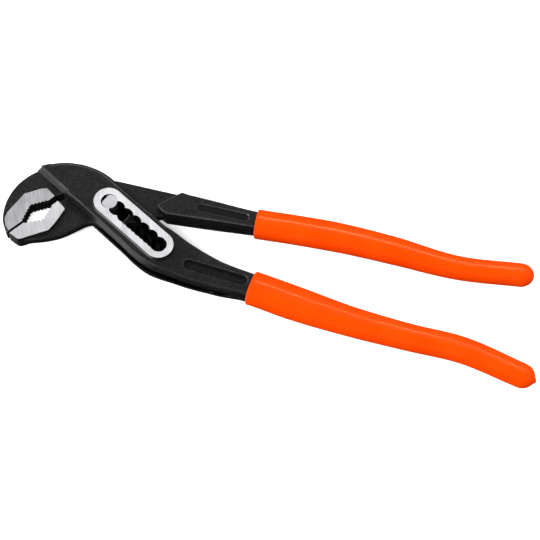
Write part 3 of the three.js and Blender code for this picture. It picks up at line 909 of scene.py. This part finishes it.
# PIVOT PIN
# A hardened steel pin, pressed into the inner lever and ground flush with the ring. A flat on each
# end lets it leave its notch when the handles are wide open.
pin_radius = 3.55
pin_flat = 2.5
pin_edge = 0.2
flat_heading = slot_angle - math.pi / 2 - open_angle
flat_half_angle = math.acos(pin_flat / pin_radius)
round_start = flat_heading + flat_half_angle
round_end = flat_heading + math.tau - flat_half_angle
pin_end = arc((0, 0), pin_radius, round_start, round_end)
pin = forge(
    "pivot_pin_ground", slab(pin_end, rounded(ring_half, pin_edge, steps=2)),
    ("UNION", slab(arc((0, 0), pin_radius, 0, math.tau)[:-1], [(0, window_half)])),
)
cross_heading = math.radians(-40)
cross_ground = ground_bright(
    "cross_ground", cross_heading, (0.33, 0.331, 0.343, 1), (0.46, 0.461, 0.474, 1),
)
dress(pin, [cross_ground])
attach(pin, "pin_body")
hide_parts("pivot_pin")

# GRIPS
# Vinyl sleeves: the warm handles are dipped and drawn out, so the grips have soft lips, rounded
# corners, domed ends, and a small frozen drip at the end of the lower one.
grip_wall = 1.5
grip_gap = 0.2
grip_roundness = 0.9
grip_lip = 1.0
grip_cover = 6.0
mouth_swell = 0.95
end_swell = 0.6
bore_corner = (0.8, 0.8)
bore_start = 0.1
drip_sharpness = 40


def dipped_orange():
    """Glossy orange vinyl, a little uneven as it ran and set."""
    material, shader, place = new_finish("dipped_orange")
    runs = place.noise(13 * MM)
    dimples = place.noise(2.2 * MM)
    coat(shader, {
        "Base Color": runs.band(0.3, 0.7).mix((0.66, 0.041, 0.0005, 1), (0.7, 0.048, 0.0008, 1)),
        "Roughness": 0.1 + runs * 0.05 + dimples * 0.02,
        "Specular IOR Level": 0.05,
        "Normal": (runs * 0.8 + dimples * 0.2).bump(0.12 * MM, 0.25),
    })
    return material


orange = dipped_orange()


def grip(name, body, line_places, half_places, mouth, drip=0.0):
    """A sleeve from its bore's end, out round its lip, and back over the outside to its domed end."""
    shares = np.linspace(mouth, 1, 60)
    line = through(line_places, shares)
    halves = through(half_places, shares, power=1.0)
    last = len(line) - 1

    def outside(k, inset=0.0):
        width, thickness = halves[k] + grip_gap + grip_wall - inset
        width += np.interp(k, (0, last), (mouth_swell, end_swell))
        corner = (width * grip_roundness, thickness * grip_roundness)
        return bar_section(width, thickness, corner, corner, steps=9)

    def bore(k):
        width, thickness = halves[k] + grip_gap
        return bar_section(width, thickness, bore_corner, bore_corner, steps=9)

    rings = [across_handle(line, last, bore(last), grip_gap)]
    rings += [across_handle(line, k, bore(k)) for k in range(last, 0, -4)]
    rings.append(across_handle(line, 0, bore(0), bore_start))
    for bend in np.linspace(0, math.pi / 2, 7):
        inset = grip_lip * (1 - math.sin(bend))
        rings.append(across_handle(line, 0, outside(0, inset), grip_lip * (1 - math.cos(bend))))
    rings += [across_handle(line, k, outside(k)) for k in range(1, last + 1)]
    for bend in np.linspace(0, math.pi / 2, 19)[1:-1]:
        reach = grip_cover * math.sin(bend) + drip * math.sin(bend) ** drip_sharpness
        rings.append(across_handle(line, last, outside(last) * math.cos(bend), reach))
    piece = solid(name, rings)
    dress(piece, [orange], sharp=math.radians(60))
    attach(piece, body)
    return piece


lower_grip = grip(
    "lower_grip_vinyl", "slotted_lever_body", lower_places, lower_halves, lower_grip_share, drip=1.0,
)
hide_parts("slotted_lever_grip")
upper_grip = grip(
    "upper_grip_vinyl", "inner_lever_body", upper_places, upper_halves, upper_grip_share,
)
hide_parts("inner_lever_grip")

# FLOOR, LIGHT AND CAMERA
# A white floor that gives off a little light of its own, except in a painted shadow under the slot. Soft
# lamps, some kept to the steel or to the grips, and a camera in front and above at the photo's angle.
floor_half = 3
floor_corners = [(x * floor_half, y * floor_half, 0) for x, y in ((-1, -1), (1, -1), (1, 1), (-1, 1))]
floor_mesh = bpy.data.meshes.new("floor")
floor_mesh.from_pydata(floor_corners, [], [(0, 1, 2, 3)])
floor = bpy.data.objects.new("floor", floor_mesh)
bpy.context.scene.collection.objects.link(floor)
floor_finish, floor_shader, floor_place = new_finish("pale_floor")
slot_middle = from_slot(((first_notch + last_notch) / 2, 0)) * MM + pin_place[:2]
off_middle = floor_place.node(
    "ShaderNodeVectorMath", {"operation": "SUBTRACT"}, {0: floor_place, 1: (*slot_middle, 0)},
)
along_slot = floor_place.node(
    "ShaderNodeVectorRotate", {"rotation_type": "Z_AXIS"}, {"Vector": off_middle, "Angle": -slot_angle},
)
run, side = (floor_place.node("ShaderNodeSeparateXYZ", {}, {0: along_slot}, output=k) for k in range(2))


def within(distance, inner, outer):
    """One up to the inner distance on either side, fading to nought at the outer one."""
    return 1 - (distance * distance).band(inner ** 2, outer ** 2)


# Painted shadow: under the slot the floor is near black and gives off no light.
painted_slot_shadow = within(run, 0.0205, 0.022) * within(side, 0.0045, 0.006)
coat(floor_shader, {
    "Base Color": painted_slot_shadow.mix((0.94, 0.94, 0.94, 1), (0.02, 0.02, 0.02, 1)),
    "Roughness": 0.9,
    "Specular IOR Level": 0.1,
    "Emission Color": painted_slot_shadow.mix((1, 1, 1, 1), (0, 0, 0, 1)),
    "Emission Strength": 0.5,
})
floor_mesh.materials.append(floor_finish)
floor.visible_glossy = False
floor.visible_diffuse = False


def softbox(name, place, size, power, pieces=(), glossy=True, diffuse=True):
    """A soft lamp aimed at the tool. Where pieces are named, its light is kept to those alone."""
    light = bpy.data.lights.new(name, "AREA")
    light.shape = "RECTANGLE"
    light.size, light.size_y = size
    light.energy = power
    lamp = bpy.data.objects.new(name, light)
    lamp.location = place
    lamp.rotation_euler = (-Vector(place)).to_track_quat("-Z", "Y").to_euler()
    lamp.visible_glossy = glossy
    lamp.visible_diffuse = diffuse
    bpy.context.scene.collection.objects.link(lamp)
    if pieces:
        group = bpy.data.collections.new(name + "_pieces")
        for piece in pieces:
            group.objects.link(piece)
        lamp.light_linking.receiver_collection = group
    return lamp


steel = (slotted_lever, inner_lever, pin)
grips = (lower_grip, upper_grip)
key_place = (-0.13, -0.64, 1.09)
key_size = (0.3, 0.3)
softbox("key_light", key_place, key_size, 10.0, (*steel, floor), glossy=False)
softbox("grip_key", (0.05, 0.35, 1.2), key_size, 10.0, grips, glossy=False)
softbox("near_card", key_place, (0.8, 0.8), 7.5, steel, diffuse=False)
fill_places = {
    "back_fill": (0.3, 0.95, 0.85),
    "left_fill": (-1.0, -0.3, 0.8),
    "right_fill": (1.1, 0.1, 0.8),
}
for name, place in fill_places.items():
    softbox(name, place, (0.9, 0.7), 6.0, glossy=False)
softbox("side_light", (-0.95, -0.75, 0.4), (0.6, 0.4), 8.0)
softbox("strip_light", (0.0, 0.79, 0.66), (1.8, 0.1), 14.0, steel, diffuse=False)
grip_strip = softbox("grip_strip", (0.1, 0.495, 0.869), (1.2, 0.03), 15.0, grips, diffuse=False)
grip_strip.data.color = (1.0, 0.7, 0.4)
grip_fill_size = (1.0, 0.4)
softbox("grip_near_fill", (0.25, -0.95, 0.3), grip_fill_size, 8.0, grips, glossy=False)
softbox("grip_far_fill", (0.3, 1.0, 0.3), grip_fill_size, 3.5, grips, glossy=False)
softbox("edge_light", (-0.95, -0.75, 0.42), (1.3, 0.9), 32.0, steel, diffuse=False)

world = bpy.data.worlds.new("studio")
world.use_nodes = True
sky = world.node_tree.nodes["Background"]
coords = world.node_tree.nodes.new("ShaderNodeTexCoord")
heading = Field(world.node_tree, coords.outputs["Generated"])
right, back, up = (heading.node("ShaderNodeSeparateXYZ", {}, {0: heading}, output=k) for k in range(3))
above = up.band(-0.02, 0.04)
ends = (right * right).band(0.3, 0.7) * 0.7
left_wall = (0 - right).band(0.7, 0.92) * 2.5
ceiling = 0.07 + ends + left_wall + up.band(0.6, 0.84) * (0.06 + back.band(0.0, 0.38) * 0.6)
left_card = 0.03 + (0 - right).band(0.42, 0.6) * up.band(-0.86, -0.76) * 2.5
coat(sky, {"Color": (1, 1, 1, 1), "Strength": above * ceiling + (1 - above) * left_card})
bpy.context.scene.world = world
bpy.context.scene.view_settings.view_transform = "Standard"

camera_turn = math.radians(13)
camera_height = math.radians(63)
camera_distance = 0.811
target = Vector((0.0004, 0.0001, 0.008))
look = Vector((
    -math.sin(camera_turn) * math.cos(camera_height),
    math.cos(camera_turn) * math.cos(camera_height),
    -math.sin(camera_height),
))
camera_data = bpy.data.cameras.new("camera")
camera_data.lens = 120
camera_data.sensor_width = 36
camera = bpy.data.objects.new("camera", camera_data)
camera.location = target - look * camera_distance
camera.rotation_euler = look.to_track_quat("-Z", "Y").to_euler()
bpy.context.scene.collection.objects.link(camera)
bpy.context.scene.camera = camera
